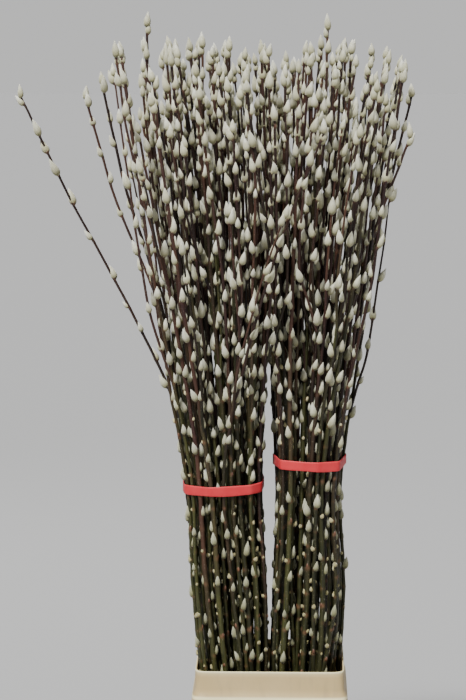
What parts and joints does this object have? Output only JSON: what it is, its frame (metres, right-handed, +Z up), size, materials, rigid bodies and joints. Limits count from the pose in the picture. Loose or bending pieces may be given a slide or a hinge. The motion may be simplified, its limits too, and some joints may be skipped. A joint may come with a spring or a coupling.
{
  "type": "pussy willow branches in a flower bucket",
  "caption": "Tall bundles of budding pussy willow branches, each held by a flat elastic tie, standing upright in an open square flower bucket.",
  "frame": {"origin": "middle of the bucket's flat underside, on the surface it stands on", "axes": "+Z up along the branches, -Y towards the front of the bucket, +X to the right seen from the front"},
  "size_m": [0.5661, 0.2881, 1.274],
  "materials": {
    "bark": "smooth young bark, olive green below and dark red-brown above, with a slight sheen",
    "catkin": "soft silvery fur",
    "bud_scale": "thin shiny brown scale",
    "elastic": "matt red elastic",
    "bucket_plastic": "cream moulded plastic, satin and a little scuffed"
  },
  "bodies": {
    "root": {"flower_bucket": "bucket_plastic", "left_branch_01": "bark", "left_branch_02": "bark", "left_branch_03": "bark", "left_branch_04": "bark", "left_branch_05": "bark", "left_branch_06": "bark", "left_branch_07": "bark", "left_branch_08": "bark", "left_branch_09": "bark", "left_branch_10": "bark", "left_branch_11": "bark", "left_branch_12": "bark", "left_branch_13": "bark", "left_branch_14": "bark", "left_branch_15": "bark", "left_branch_16": "bark", "left_branch_17": "bark", "left_branch_18": "bark", "left_branch_19": "bark", "left_branch_20": "bark", "left_branch_21": "bark", "left_branch_22": "bark", "left_branch_23": "bark", "left_branch_24": "bark", "left_branch_25": "bark", "left_branch_26": "bark", "left_branch_27": "bark", "left_branch_28": "bark", "left_branch_29": "bark", "left_branch_30": "bark", "left_branch_31": "bark", "left_tie": "elastic", "right_branch_01": "bark", "right_branch_02": "bark", "right_branch_03": "bark", "right_branch_04": "bark", "right_branch_05": "bark", "right_branch_06": "bark", "right_branch_07": "bark", "right_branch_08": "bark", "right_branch_09": "bark", "right_branch_10": "bark", "right_branch_11": "bark", "right_branch_12": "bark", "right_branch_13": "bark", "right_branch_14": "bark", "right_branch_15": "bark", "right_branch_16": "bark", "right_branch_17": "bark", "right_branch_18": "bark", "right_branch_19": "bark", "right_branch_20": "bark", "right_branch_21": "bark", "right_branch_22": "bark", "right_branch_23": "bark", "right_branch_24": "bark", "right_branch_25": "bark", "right_branch_26": "bark", "right_tie": "elastic"}
  },
  "joints": []
}
